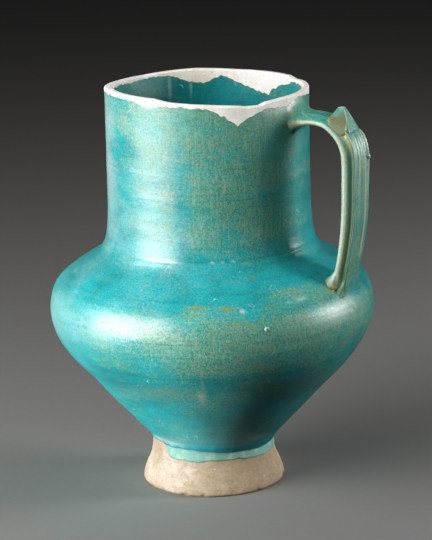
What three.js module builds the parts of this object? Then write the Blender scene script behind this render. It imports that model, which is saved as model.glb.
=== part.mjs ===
// A glazed stonepaste jug: a flared foot, a wide body made in two halves, a tall
// straight neck with a broken rim, a ribbed strap handle with a pointed thumb rest,
// and the plaster fillings that level the rim. Millimetres, +Z up, handle towards +X.
import * as THREE from "three";

// Heights above the table
const footTopHeight = 22;
const bodyEdgeHeight = 25;
const bellySeamHeight = 88;
const neckSeatHeight = 112;
const neckSeamHeight = 119;

// Reach from the turning axis
const bellyRadius = 81;
const handleReach = 84.5;

// Outer surface, as [radius, height]
const footWall = [
  [35.5, 0.8],
  [34, 6],
  [31, 14],
  [30.4, footTopHeight],
];
const bowlCone = [
  [33, bodyEdgeHeight],
  [67.6, 64],
];
const bellyCurve = [
  [67.6, 64],
  [74.6, 72],
  [78.9, 80.5],
  [bellyRadius, 91],
  [79.9, 98],
  [77.4, 103],
  [72.9, 107],
  [65.6, 112],
  [60.3, 115],
  [55.3, neckSeamHeight],
];
const neckCurve = [
  [55.3, neckSeamHeight],
  [52.2, 126],
  [50.5, 140],
  [50.2, 160],
  [50.3, 184],
];
const rimRadius = 50.5;

// Inner surface, as [radius, height]
const innerFloor = [
  [0, 28.5],
  [18, 28.8],
  [28, 32],
];
const innerBowl = [
  [62.4, 66.5],
  [69.2, 73.8],
  [73.6, 81],
  [76, 89],
];
const innerShoulder = [
  [75.9, 92],
  [74.3, 98],
  [70.4, 102.4],
  [62, 107.2],
  [55.5, 111],
];
const innerNeck = [
  [49, neckSeamHeight],
  [47.7, 126],
  [46.7, 140],
  [46.5, 160],
  [46.8, 184],
];
const rimInnerRadius = 47;

// Foot ring and how the bowl's base sits in it
const footInnerRadius = 27;
const recessRadius = 25;
const recessHeight = 19;
const footTongueRadius = 28.5;
const footTongueHeight = 25;
const bodyLipRadius = 30.9;

// Laps at the luted joints
const seamGap = 0.3;
const bellyLapRadius = 78.2;
const bellyLapHeight = 4;
const neckSeatRadius = 52.3;
const neckTongueInnerRadius = 49;

// Handle: stations down the strap as [x, z, thickness, width]
const handleStations = [
  [55.5, 189.1, 5.6, 17.8],
  [59, 189.4, 4.4, 17.1],
  [63.5, 189.1, 4.2, 17],
  [67.6, 188.2, 4.4, 17],
  [71.6, 186.2, 4.9, 17],
  [75.4, 183.1, 5.3, 17],
  [78.4, 179, 5.8, 17],
  [80.4, 174.2, 6.4, 17],
  [handleReach - 3.4, 168, 6.8, 17],
  [handleReach - 3.4, 158, 6.8, 17],
  [81, 148, 6.8, 17],
  [80.4, 138.5, 6.6, 17],
  [79.2, 129.5, 6.1, 17],
  [77.9, 121.5, 5.7, 17.3],
  [76.6, 115.5, 5.9, 17.8],
];
const upperRoot = { x: 50.2, z: 188.3, thickness: 11.4, width: 20 };
const lowerRoot = { x: 74.9, z: 109.5, thickness: 8.6, width: 19 };
const rootRingShares = [0.05, 0.5, 1];
const ribHeight = 0.5;
const handleStepsPerStation = 2;

// Thumb rest on the strap's upper bend, as [place among the strap's stations, height
// over the strap, width at its foot, width of the flat face towards the thumb]
const restStations = [
  [2.75, 0.9, 3, 1.2],
  [3.2, 3.2, 7, 1],
  [3.75, 7.1, 11, 0.8],
  [4.2, 5.3, 12.5, 3.5],
  [4.6, 3.9, 13.2, 6.5],
  [5, 2.6, 13.8, 9],
  [5.5, 1.5, 14, 11.5],
  [6, 0.8, 14, 13],
];
const restEdgeThickness = 0.4;

// Broken edge of the neck, as [angle from +X, height]: the deep notches are where
// pieces of the neck were lost
const brokenEdge = [
  [0, 198.2],
  [12, 197.6],
  [24, 196.5],
  [34, 197.6],
  [42, 198.2],
  [52, 197.4],
  [65, 194.5],
  [74, 191.3],
  [76.5, 188.3],
  [87, 190.4],
  [98, 193.5],
  [103, 195.4],
  [109, 197],
  [113, 196],
  [118, 193.2],
  [128, 193.9],
  [139, 197.4],
  [150, 198.2],
  [167, 198],
  [171, 197.3],
  [178, 198.1],
  [195, 198.3],
  [210, 200],
  [222, 200.7],
  [250, 200.5],
  [258, 199.8],
  [265, 197.9],
  [272, 199.4],
  [285, 199.1],
  [299, 198.4],
  [307, 194.5],
  [315, 189.7],
  [321, 193],
  [332, 196.2],
  [348, 195.6],
  [353, 197.6],
];

// Height of the levelled rim, as [angle from +X, height]
const levelledRim = [
  [0, 199.9],
  [40, 199.8],
  [52, 199.1],
  [60, 200],
  [100, 199.9],
  [125, 200.6],
  [158, 199.8],
  [180, 200.1],
  [196, 200.9],
  [226, 202.8],
  [267, 202.6],
  [277, 201.2],
  [300, 200.1],
  [315, 199.1],
  [321, 198.3],
  [329, 198.2],
  [333, 199.3],
  [344, 199.8],
];
const rimEdgeChamfer = 0.7;

// Plaster fillings, each from one angle round to the next
const fillings = [
  ["rear_right_fill", 58.5, 112.5],
  ["rear_left_fill", 112.5, 148.5],
  ["left_fill", 148.5, 247.5],
  ["front_left_fill", 247.5, 301.5],
  ["front_fill", 301.5, 328.5],
  ["handle_side_fill", 328.5, 418.5],
];

// Fineness of the turned shapes
const bodySegments = 60;
const neckSegments = 80;

const degree = Math.PI / 180;
const neckStep = 360 / neckSegments;

const vector2s = (pairs) => pairs.map(([r, z]) => new THREE.Vector2(r, z));

const smoothCurve = (pairs, pieces) =>
  new THREE.SplineCurve(vector2s(pairs)).getSpacedPoints(pieces);

const outerWall = [
  ...smoothCurve(footWall, 8),
  ...vector2s(bowlCone),
  ...smoothCurve(bellyCurve, 40).slice(1),
  ...smoothCurve(neckCurve, 12).slice(1),
  new THREE.Vector2(rimRadius, 200),
];

// Straight-line value at x in a list of [x, value] rows sorted by x
function valueAt(rows, x) {
  const next = rows.findIndex((row) => row[0] > x);
  if (next === 0) return rows[0][1];
  if (next < 0) return rows[rows.length - 1][1];
  const [x0, v0] = rows[next - 1];
  const [x1, v1] = rows[next];
  return v0 + ((v1 - v0) * (x - x0)) / (x1 - x0);
}

// The same for a list round the rim, which joins up at a full turn
function heightRound(rows, angle) {
  const withinTurn = ((angle % 360) + 360) % 360;
  return valueAt([...rows, [360, rows[0][1]]], withinTurn);
}

const outerRadiusAt = (z) => valueAt(outerWall.map((p) => [p.y, p.x]), z);

// Points of the outer surface between two heights, at equal steps along it
function wallBetween(low, high, pieces) {
  const apart = 0.2;
  const inside = outerWall.filter((p) => p.y > low + apart && p.y < high - apart);
  const path = new THREE.CurvePath();
  const points = [
    new THREE.Vector2(outerRadiusAt(low), low),
    ...inside,
    new THREE.Vector2(outerRadiusAt(high), high),
  ];
  points.slice(1).forEach((p, i) => path.add(new THREE.LineCurve(points[i], p)));
  return path.getSpacedPoints(pieces);
}

function closedOutline(points) {
  return [...points, points[0].clone()];
}

function turned(outline, segments) {
  return new THREE.LatheGeometry(outline, segments).rotateX(Math.PI / 2);
}

// A closed body through a row of rings, each with the same number of points and
// anticlockwise as seen from the next, capped from the middle of the end rings
function lofted(rings) {
  const count = rings[0].length;
  const middle = (ring) =>
    ring.reduce((sum, p) => sum.add(p), new THREE.Vector3()).divideScalar(count);
  const points = [...rings.flat(), middle(rings[0]), middle(rings.at(-1))];
  const startCentre = rings.length * count;
  const endCentre = startCentre + 1;
  const faces = [];
  for (let k = 0; k < count; k++) {
    const next = (k + 1) % count;
    for (let i = 0; i < rings.length - 1; i++) {
      const here = i * count;
      const there = here + count;
      faces.push(here + k, there + next, there + k);
      faces.push(here + k, here + next, there + next);
    }
    const last = (rings.length - 1) * count;
    faces.push(startCentre, next, k);
    faces.push(endCentre, last + k, last + next);
  }
  const geometry = new THREE.BufferGeometry().setFromPoints(points);
  geometry.setIndex(faces);
  geometry.computeVertexNormals();
  return geometry;
}

function footGeometry() {
  const outline = [
    [footInnerRadius, 0],
    [footWall[0][0] - 0.5, 0],
    ...smoothCurve(footWall, 4).map((p) => [p.x, p.y]),
    [footTongueRadius, footTopHeight],
    [footTongueRadius, footTongueHeight],
    [recessRadius, footTongueHeight],
    [recessRadius, recessHeight / 2],
  ];
  return turned(closedOutline(vector2s(outline)), bodySegments);
}

function lowerBowlGeometry() {
  const plugRadius = recessRadius - seamGap;
  const grooveRadius = footTongueRadius + seamGap;
  const grooveHeight = footTongueHeight + seamGap;
  const lipHeight = footTopHeight + seamGap;
  const outline = [
    ...vector2s([
      [0, recessHeight],
      [plugRadius, recessHeight],
      [plugRadius, grooveHeight],
      [grooveRadius, grooveHeight],
      [grooveRadius, lipHeight],
      [bodyLipRadius, lipHeight],
      bowlCone[0],
    ]),
    ...wallBetween(bowlCone[1][1], bellySeamHeight, 6),
    ...vector2s([
      [bellyLapRadius, bellySeamHeight],
      [bellyLapRadius, bellySeamHeight + bellyLapHeight],
      [innerShoulder[0][0], bellySeamHeight + bellyLapHeight],
    ]),
    ...smoothCurve(innerBowl, 4).reverse(),
    ...vector2s(innerFloor).reverse(),
  ];
  return turned(outline, bodySegments);
}

function shoulderGeometry() {
  const outline = [
    new THREE.Vector2(bellyLapRadius + seamGap, bellySeamHeight + seamGap),
    ...wallBetween(bellySeamHeight + seamGap, neckSeamHeight, 11),
    new THREE.Vector2(neckSeatRadius, neckSeamHeight),
    new THREE.Vector2(neckSeatRadius, neckSeatHeight),
    ...smoothCurve(innerShoulder, 5).slice(1).reverse(),
    new THREE.Vector2(innerShoulder[0][0], bellySeamHeight + bellyLapHeight + seamGap),
    new THREE.Vector2(
      bellyLapRadius + seamGap,
      bellySeamHeight + bellyLapHeight + seamGap,
    ),
  ];
  return turned(closedOutline(outline), bodySegments);
}

function neckGeometry() {
  const tongueRadius = neckSeatRadius - seamGap;
  const tongueHeight = neckSeatHeight + seamGap;
  const seamHeight = neckSeamHeight + seamGap;
  const topHeight = 250; // until the broken edge's own heights are set
  const outline = [
    ...vector2s([
      [neckTongueInnerRadius, tongueHeight],
      [tongueRadius, tongueHeight],
      [tongueRadius, seamHeight],
    ]),
    ...wallBetween(seamHeight, neckCurve.at(-1)[1], 6),
    new THREE.Vector2(rimRadius, topHeight),
    new THREE.Vector2(rimInnerRadius, topHeight),
    ...smoothCurve(innerNeck, 4).reverse(),
  ];
  const geometry = turned(closedOutline(outline), neckSegments);
  const points = geometry.getAttribute("position");
  for (let i = 0; i < points.count; i++) {
    if (points.getZ(i) < topHeight - 1) continue;
    const angle = Math.atan2(points.getY(i), points.getX(i)) / degree;
    points.setZ(i, heightRound(brokenEdge, angle));
  }
  return geometry;
}

function fillGeometry(start, end) {
  const clearance = seamGap / 2 / rimRadius / degree;
  const angles = [start + clearance];
  for (let a = start + neckStep; a < end - 0.01; a += neckStep) angles.push(a);
  angles.push(end - clearance);
  const rings = angles.map((angle) => {
    const low = heightRound(brokenEdge, angle) + seamGap;
    const high = heightRound(levelledRim, angle);
    const section = [
      [rimInnerRadius, low],
      [rimInnerRadius, high - rimEdgeChamfer],
      [rimInnerRadius + rimEdgeChamfer, high],
      [rimRadius - rimEdgeChamfer, high],
      [rimRadius, high - rimEdgeChamfer],
      [rimRadius, low],
    ];
    return section.map(
      ([r, z]) =>
        new THREE.Vector3(r * Math.cos(angle * degree), r * Math.sin(angle * degree), z),
    );
  });
  return lofted(rings);
}

// The strap's section as [side, outward] shares of its half width and half
// thickness: a rounded bead along each inner edge, a hollow side, and ribs outside
function strapSection(rib) {
  const half = [
    [0, -1],
    [0.62, -1],
    [0.88, -0.86],
    [1, -0.5],
    [0.97, -0.12],
    [0.93, 0.2],
    [0.97, 0.55],
    [0.9, 0.86],
    [0.76, 0.9],
  ];
  const ribs = [
    [0.6, 1 - rib],
    [0.3, 1],
    [0, 1 - rib],
  ];
  const right = [...half, ...ribs];
  const left = right.slice(1, -1).reverse();
  return [...right, ...left.map(([side, out]) => [-side, out])];
}

const handlePath = new THREE.CatmullRomCurve3(
  handleStations.map(([x, z]) => new THREE.Vector3(x, 0, z)),
);

// The strap at a place among its stations, counted from 0
function strapAt(place) {
  const share = place / (handleStations.length - 1);
  const at = handlePath.getPoint(share);
  const along = handlePath.getTangent(share);
  const outward = new THREE.Vector3(-along.z, 0, along.x);
  const thickness = valueAt(handleStations.map((s, k) => [k, s[2]]), place);
  const width = valueAt(handleStations.map((s, k) => [k, s[3]]), place);
  return { at, along, outward, thickness, width };
}

const sideways = new THREE.Vector3(0, 1, 0);

function strapRing(at, outward, thickness, width, rib) {
  return strapSection((2 * rib) / thickness).map(([side, out]) =>
    at
      .clone()
      .addScaledVector(sideways, (side * width) / 2)
      .addScaledVector(outward, (out * thickness) / 2),
  );
}

// Where a line from a point meets the outside of the jug, less the joint's gap,
// found by halving
function meetJug(point, direction) {
  const reach = 30;
  const halvings = 40;
  const inside = (p) => Math.hypot(p.x, p.y) < outerRadiusAt(p.z) + seamGap;
  const far = point.clone().addScaledVector(direction, reach);
  const near = point.clone();
  for (let i = 0; i < halvings; i++) {
    const half = near.clone().add(far).divideScalar(2);
    if (inside(half)) far.copy(half);
    else near.copy(half);
  }
  return near;
}

// A widened end of the strap laid against the jug, as rings from its middle outwards
function rootRings(root, frame, towards) {
  const clearOfJug = -4;
  const start = new THREE.Vector3(root.x, 0, root.z);
  start.addScaledVector(towards, clearOfJug);
  return rootRingShares.map((share) => {
    const thickness = root.thickness * share;
    const width = root.width * share;
    const ring = strapRing(start, frame.outward, thickness, width, 0);
    return ring.map((p) => meetJug(p, towards));
  });
}

function handleGeometry() {
  const lastPlace = handleStations.length - 1;
  const ribStart = restStations.at(-1)[0];
  const rings = [];
  for (let i = 0; i <= lastPlace * handleStepsPerStation; i++) {
    const place = i / handleStepsPerStation;
    const { at, outward, thickness, width } = strapAt(place);
    const rib = place < ribStart ? 0 : ribHeight;
    rings.push(strapRing(at, outward, thickness, width, rib));
  }
  const top = strapAt(0);
  const bottom = strapAt(lastPlace);
  const inward = new THREE.Vector3(-1, 0, 0);
  return lofted([
    ...rootRings(upperRoot, top, inward),
    ...rings,
    ...rootRings(lowerRoot, bottom, bottom.along).reverse(),
  ]);
}

function thumbRestGeometry() {
  const rings = restStations.map(([place, height, width, faceWidth]) => {
    const { at, outward, thickness } = strapAt(place);
    const edge = Math.min(restEdgeThickness, height - seamGap);
    const section = [
      [-width / 2, seamGap],
      [width / 2, seamGap],
      [width / 2, seamGap + edge],
      [faceWidth / 2, height],
      [-faceWidth / 2, height],
      [-width / 2, seamGap + edge],
    ];
    return section.map(([side, out]) =>
      at
        .clone()
        .addScaledVector(sideways, side)
        .addScaledVector(outward, thickness / 2 + out),
    );
  });
  return lofted(rings);
}

const materials = {
  glaze: { color: 0x1f9a97, roughness: 0.28, metalness: 0 },
  wornGlaze: { color: 0x6fae98, roughness: 0.4, metalness: 0 },
  stonepaste: { color: 0xd0bfa6, roughness: 0.85, metalness: 0 },
  plaster: { color: 0xebe8e2, roughness: 0.9, metalness: 0 },
  creamPlaster: { color: 0xe3d8c8, roughness: 0.9, metalness: 0 },
};

function piece(name, geometry, finish) {
  const mesh = new THREE.Mesh(geometry, new THREE.MeshStandardMaterial(finish));
  mesh.name = name;
  return mesh;
}

const jug = new THREE.Group();
jug.add(piece("foot", footGeometry(), materials.stonepaste));
jug.add(piece("lower_bowl", lowerBowlGeometry(), materials.glaze));
jug.add(piece("shoulder", shoulderGeometry(), materials.glaze));
jug.add(piece("neck", neckGeometry(), materials.glaze));
jug.add(piece("handle", handleGeometry(), materials.wornGlaze));
jug.add(piece("thumb_rest", thumbRestGeometry(), materials.wornGlaze));
for (const [name, start, end] of fillings) {
  const finish = name === "rear_left_fill" ? materials.creamPlaster : materials.plaster;
  jug.add(piece(name, fillGeometry(start, end), finish));
}

// The origin is the middle of the space that the jug takes up on the table, handle
// included, so the turning axis stands a little towards -X of it
jug.position.x = (bellyRadius - handleReach) / 2;

export default jug;
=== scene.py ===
import bpy
import bmesh
import math
import numpy as np
from functools import partial
from mathutils import Matrix, Vector


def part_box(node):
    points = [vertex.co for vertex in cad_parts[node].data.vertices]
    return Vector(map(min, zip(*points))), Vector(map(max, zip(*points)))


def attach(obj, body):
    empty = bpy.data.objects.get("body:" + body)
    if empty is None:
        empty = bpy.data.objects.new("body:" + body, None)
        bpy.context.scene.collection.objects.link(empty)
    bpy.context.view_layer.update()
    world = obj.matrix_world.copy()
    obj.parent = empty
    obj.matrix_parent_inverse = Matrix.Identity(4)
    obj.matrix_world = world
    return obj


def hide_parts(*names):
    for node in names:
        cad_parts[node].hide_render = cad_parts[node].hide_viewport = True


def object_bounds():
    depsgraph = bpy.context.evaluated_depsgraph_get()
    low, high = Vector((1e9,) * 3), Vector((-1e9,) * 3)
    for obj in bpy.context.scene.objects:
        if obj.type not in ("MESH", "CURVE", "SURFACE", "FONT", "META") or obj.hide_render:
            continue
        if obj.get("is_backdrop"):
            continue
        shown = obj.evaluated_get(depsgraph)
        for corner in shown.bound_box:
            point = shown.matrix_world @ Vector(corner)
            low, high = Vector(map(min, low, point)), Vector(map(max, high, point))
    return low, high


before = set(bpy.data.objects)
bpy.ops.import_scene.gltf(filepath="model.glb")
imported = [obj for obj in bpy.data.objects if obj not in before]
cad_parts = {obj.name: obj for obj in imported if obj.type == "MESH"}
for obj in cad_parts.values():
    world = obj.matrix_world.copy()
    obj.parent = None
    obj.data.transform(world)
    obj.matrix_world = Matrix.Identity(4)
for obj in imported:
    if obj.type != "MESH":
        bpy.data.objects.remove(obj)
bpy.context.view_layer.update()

scene = bpy.context.scene
mm = 0.001
footLow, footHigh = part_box("foot")
axisX = (footLow.x + footHigh.x) / 2 / mm  # the turning axis, in mm from the origin

# Sizes are in millimetres from here on, and the helpers turn them into metres.

view = {
    "azimuth": 28.5,  # degrees the camera stands to the handle's side of the front
    "distance": 1200,
    "height": 424.3,
    "aimAside": 3.48,
    "aimHeight": 107.4,
    "roll": -1.51,
    "focalPixels": 2482,
    "framePixels": 540,
}


def addToScene(name, data, finish=None):
    added = bpy.data.objects.new(name, data)
    scene.collection.objects.link(added)
    if finish:
        data.materials.append(finish)
    return added


def pointCamera():
    turn = math.radians(view["azimuth"])
    aside = Vector((math.cos(turn), math.sin(turn), 0))
    away = Vector((math.sin(turn), -math.cos(turn), 0))
    axis = Vector((axisX, 0, 0))
    eye = axis + away * view["distance"] + Vector((0, 0, view["height"]))
    aim = axis + aside * view["aimAside"] + Vector((0, 0, view["aimHeight"]))
    forward = (aim - eye).normalized()
    right = forward.cross(Vector((0, 0, 1))).normalized()
    up = right.cross(forward)
    roll = math.radians(view["roll"])
    rolledRight = math.cos(roll) * right + math.sin(roll) * up
    rolledUp = math.cos(roll) * up - math.sin(roll) * right
    data = bpy.data.cameras.new("photoCamera")
    data.sensor_width = 36
    data.lens = view["focalPixels"] * data.sensor_width / view["framePixels"]
    data.clip_start = 0.05
    data.clip_end = 20
    turned = Matrix((rolledRight, rolledUp, -forward)).transposed().to_4x4()
    scene.camera = addToScene("photoCamera", data)
    scene.camera.matrix_world = Matrix.Translation(eye * mm) @ turned


pointCamera()
print("camera set")


def linearColour(code):
    parts = [int(code[i:i + 2], 16) / 255 for i in (0, 2, 4)]
    return [c / 12.92 if c <= 0.04045 else ((c + 0.055) / 1.055) ** 2.4 for c in parts] + [1]


def addNode(tree, kind, feeds=None, **settings):
    node = tree.nodes.new(kind)
    for key, value in settings.items():
        setattr(node, key, value)
    for key, value in (feeds or {}).items():
        if isinstance(value, bpy.types.Node):
            value = next(s for s in value.outputs if s.enabled)
        if isinstance(value, bpy.types.NodeSocket):
            tree.links.new(value, node.inputs[key])
        else:
            node.inputs[key].default_value = value
    return node


# A line through points, smooth unless straight, cut at about even steps
def lineThrough(points, step=None, pieces=None, closed=False, straight=False):
    keys = np.array(points, float)
    if closed:
        keys = np.vstack([keys[-1:], keys, keys[:2]])
    else:
        keys = np.vstack([2 * keys[0] - keys[1], keys, 2 * keys[-1] - keys[-2]])
    made = []
    for a, b, c, d in zip(keys, keys[1:], keys[2:], keys[3:]):
        cuts = pieces or max(1, round(float(np.linalg.norm(c - b)) / step))
        t = np.linspace(0, 1, cuts, endpoint=False)[:, None]
        # centripetal Catmull-Rom, so that uneven spacing makes no waves
        k1 = max(np.linalg.norm(b - a), 1e-6) ** 0.5
        k2 = max(np.linalg.norm(c - b), 1e-6) ** 0.5
        k3 = max(np.linalg.norm(d - c), 1e-6) ** 0.5
        m1 = k2 * ((b - a) / k1 - (c - a) / (k1 + k2) + (c - b) / k2)
        m2 = k2 * ((c - b) / k2 - (d - b) / (k2 + k3) + (d - c) / k3)
        if straight:
            m1 = m2 = c - b
        made.append(
            (2 * t**3 - 3 * t**2 + 1) * b + (t**3 - 2 * t**2 + t) * m1
            + (-2 * t**3 + 3 * t**2) * c + (t**3 - t**2) * m2
        )
    if not closed:
        made.append(keys[-2:-1])
    return np.vstack(made)


# Smooth seeded noise from -1 to 1 at points, with lumps of about the size given
def lumps(points, size, seed, waves=14):
    rng = np.random.default_rng(seed)
    total = np.zeros(len(points))
    for _ in range(waves):
        direction = rng.normal(size=points.shape[1])
        direction /= np.linalg.norm(direction)
        length = 2 * size * rng.uniform(0.7, 1.5)
        phase = rng.uniform(0, 2 * math.pi)
        total += np.sin(points @ direction * (2 * math.pi / length) + phase)
    return total / math.sqrt(waves / 2) / 1.6


def ease(value, low, high):
    t = np.clip((value - low) / (high - low), 0, 1)
    return t * t * (3 - 2 * t)


# 1 between the inner two values, easing to 0 at the outer two
def plateau(value, start, full, fade, end):
    return ease(value, start, full) * (1 - ease(value, fade, end))


def hump(value, middle, reach):
    return np.exp(-((value - middle) / reach) ** 2)


def valueAt(rows, value):
    rows = np.asarray(rows, float)
    return np.interp(value, rows[:, 0], rows[:, 1])


def valueRound(rows, angle):
    start = rows[0][0]
    return valueAt(rows + [[360 + start, rows[0][1]]], np.mod(angle - start, 360) + start)


# Distance from the turning axis, and degrees round it from the handle
def roundAxis(points):
    radius = np.hypot(points[:, 0], points[:, 1])
    return radius, np.degrees(np.arctan2(points[:, 1], points[:, 0])) % 360


def turnFrom(angle, at):
    return (angle - at + 180) % 360 - 180


# Outer and inner skins of the turned jug, as [radius, height]
jug = {
    "footWall": [[35.2, 0], [35.8, 0.9], [35.3, 3.2], [34.2, 6.2], [32.3, 10.5], [31, 14.2],
        [30.5, 17.5], [30.3, 20.4], [30.3, 22]],
    "cone": [[30.3, 22], [30.7, 21.5], [31.3, 21.4], [31.9, 22.2], [32.8, 24], [34.6, 26.5], [38, 30.2],
        [44.4, 37.4], [52.5, 46.4], [60.5, 55.4], [68.3, 64], [72, 68.3], [75, 72.6], [77.3, 76.6],
        [79.1, 80.8], [80.3, 84.6], [80.8, 88]],
    "shoulder": [[80.8, 88], [81, 91.5], [80.7, 95], [79.9, 98.6], [79, 100.8], [78, 102.6],
        [76.8, 104.2], [75.4, 105.6], [73.7, 106.9], [70.3, 109.4], [66.8, 111.8], [61.5, 115],
        [58, 117.2], [55.7, 119]],
    "neck": [[55.7, 119], [54.75, 120.1], [53.9, 121.3], [53.35, 122.4], [52.9, 123.3], [52.5, 123.8],
        [52.36, 124.2], [52.35, 124.9], [52.05, 125.9], [51.6, 128], [51.1, 131], [50.7, 135],
        [50.4, 140], [50.2, 150], [50.2, 160], [50.2, 172], [50.3, 184]],
    "floor": [[0, 28.5], [10, 28.5], [18, 29], [24, 30.4], [28, 32.8], [31.5, 36]],
    "innerBowl": [[31.5, 36], [47, 51.4], [62.4, 66.5], [69.2, 73.8], [73.6, 81], [75.6, 88]],
    "innerShoulder": [[75.6, 88], [76, 91], [75.4, 95], [74, 98.6], [70.4, 102.4], [66, 105],
        [61, 107.8], [55.5, 111.6], [51.6, 115.2], [49, 119]],
    "innerNeck": [[49, 119], [47.7, 126], [46.7, 140], [46.5, 160], [46.8, 184]],
    "rimRadius": 50.3,
    "rimInnerRadius": 47,
    "rimMiddle": 48.8,
    "footInnerRadius": 27,
    "footHollow": [[25.5, 10], [26.4, 2]],
    "recessRadius": 25,
    "recessHeight": 19,
    "footTop": 22,
    "bellySeam": [78, 88],  # [radius in the middle of the wall, height]
    "neckSeam": [52, 119],
    "neckTop": 184,  # from here up the rows follow the break
    "tallest": 250,
    "breakRows": 24,
    "outerStep": 0.9,
    "footStep": 0.5,
    "innerStep": 2,
    "hubRadius": 10,
    "ringDepth": 0.3,
    "ringSize": [90, 4.5],  # round the jug and up
    "ringsEnd": 178, "footRingsEnd": 1,  # heights
    "ringsFade": 10,
    "plainWithin": 20,  # no rings this near the axis
    "mergeWithin": 0.02,
    "turns": 400,
    "seed": 11,
}


# Sweeps an outline round the turning axis, and raises the uneven rings that throwing leaves
def turningTree():
    tree = bpy.data.node_groups.new("turnOnWheel", "GeometryNodeTree")
    add = partial(addNode, tree)
    sockets = tree.interface
    for name, kind in (("Outline", "Geometry"), ("Hub radius", "Float"), ("Steps round", "Int"),
                       ("Ring depth", "Float"), ("Ring size", "Vector"), ("Rings fade from", "Float"),
                       ("Rings end at", "Float"), ("Seed", "Int"), ("Finish", "Material")):
        sockets.new_socket(name, in_out="INPUT", socket_type="NodeSocket" + kind)
    sockets.new_socket("Turned piece", in_out="OUTPUT", socket_type="NodeSocketGeometry")
    given = add("NodeGroupInput").outputs
    hub = add("GeometryNodeCurvePrimitiveCircle",
        {"Resolution": given["Steps round"], "Radius": given["Hub radius"]})
    outline = add("GeometryNodeMeshToCurve", {"Mesh": given["Outline"]})
    swept = add("GeometryNodeCurveToMesh", {"Curve": hub, "Profile Curve": outline})
    closed = add("GeometryNodeMergeByDistance",
        {"Geometry": swept, "Distance": jug["mergeWithin"] * mm})
    place = add("GeometryNodeInputPosition")
    height = add("ShaderNodeSeparateXYZ", {0: place}).outputs["Z"]
    scaled = add("ShaderNodeVectorMath", {0: place, 1: given["Ring size"]}, operation="DIVIDE")
    wave = add("ShaderNodeTexNoise",
        {"Vector": scaled, "W": given["Seed"], "Scale": 1, "Detail": 2}, noise_dimensions="4D")
    rise = add("ShaderNodeMath", {0: wave, 1: 0.5}, operation="SUBTRACT")
    depth = add("ShaderNodeMapRange",
        {"Value": height, "From Min": given["Rings end at"], "From Max": given["Rings fade from"],
        "To Min": 0, "To Max": given["Ring depth"]}, interpolation_type="SMOOTHSTEP")
    level = add("ShaderNodeVectorMath", {0: place, 1: (1, 1, 0)}, operation="MULTIPLY")
    radius = add("ShaderNodeVectorMath", {0: level}, operation="LENGTH")
    clear = add("ShaderNodeMapRange",
        {"Value": radius.outputs["Value"], "From Max": jug["plainWithin"] * mm})
    shift = add("ShaderNodeMath", {0: rise, 1: depth}, operation="MULTIPLY")
    shift = add("ShaderNodeMath", {0: shift, 1: clear}, operation="MULTIPLY")
    outwards = add("ShaderNodeVectorMath", {0: level}, operation="NORMALIZE")
    offset = add("ShaderNodeVectorMath", {0: outwards, "Scale": shift}, operation="SCALE")
    ringed = add("GeometryNodeSetPosition", {"Geometry": closed, "Offset": offset})
    smooth = add("GeometryNodeSetShadeSmooth", {"Geometry": ringed})
    real = add("GeometryNodeRealizeInstances", {"Geometry": smooth})
    finished = add("GeometryNodeSetMaterial", {"Geometry": real, "Material": given["Finish"]})
    add("NodeGroupOutput", {0: finished})
    return tree


# Gives a piece the mesh that its modifiers make
def applyModifiers(piece):
    graph = bpy.context.evaluated_depsgraph_get()
    made = bpy.data.meshes.new_from_object(piece.evaluated_get(graph))
    piece.modifiers.clear()
    piece.data = made
    return made


# Turns a closed outline of [radius, height] points round the jug's axis
def turnedPiece(name, tree, outline, finish, ringsEnd):
    count = len(outline)
    whole = outline[0][0] > 0  # an outline that starts on the axis stays open there
    edges = [(i, (i + 1) % count) for i in range(count if whole else count - 1)]
    start = bpy.data.meshes.new(name + "Outline")
    start.from_pydata([((r - jug["hubRadius"]) * mm, -z * mm, 0) for r, z in outline[::-1]], edges, [])
    piece = addToScene(name, start)
    modifier = piece.modifiers.new("turning", "NODES")
    modifier.node_group = tree
    around, up = jug["ringSize"]
    values = {"Hub radius": jug["hubRadius"] * mm, "Steps round": jug["turns"],
              "Ring depth": jug["ringDepth"] * mm, "Ring size": (around * mm, around * mm, up * mm),
              "Rings fade from": (ringsEnd - jug["ringsFade"]) * mm, "Rings end at": ringsEnd * mm,
              "Seed": jug["seed"], "Finish": finish}
    for label, value in values.items():
        modifier[tree.interface.items_tree[label].identifier] = value
    applyModifiers(piece).name = name
    bpy.data.meshes.remove(start)
    return piece


def readPoints(mesh):
    flat = np.empty(len(mesh.vertices) * 3)
    mesh.vertices.foreach_get("co", flat)
    return flat.reshape(-1, 3) / mm


def writePoints(mesh, points):
    mesh.vertices.foreach_set("co", (points * mm).ravel())
    mesh.update()


# Writes one number for each point of a piece, for its material to read
def paint(piece, name, values):
    layer = piece.data.attributes.new(name, "FLOAT", "POINT")
    layer.data.foreach_set("value", np.asarray(values, np.float32))


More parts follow.
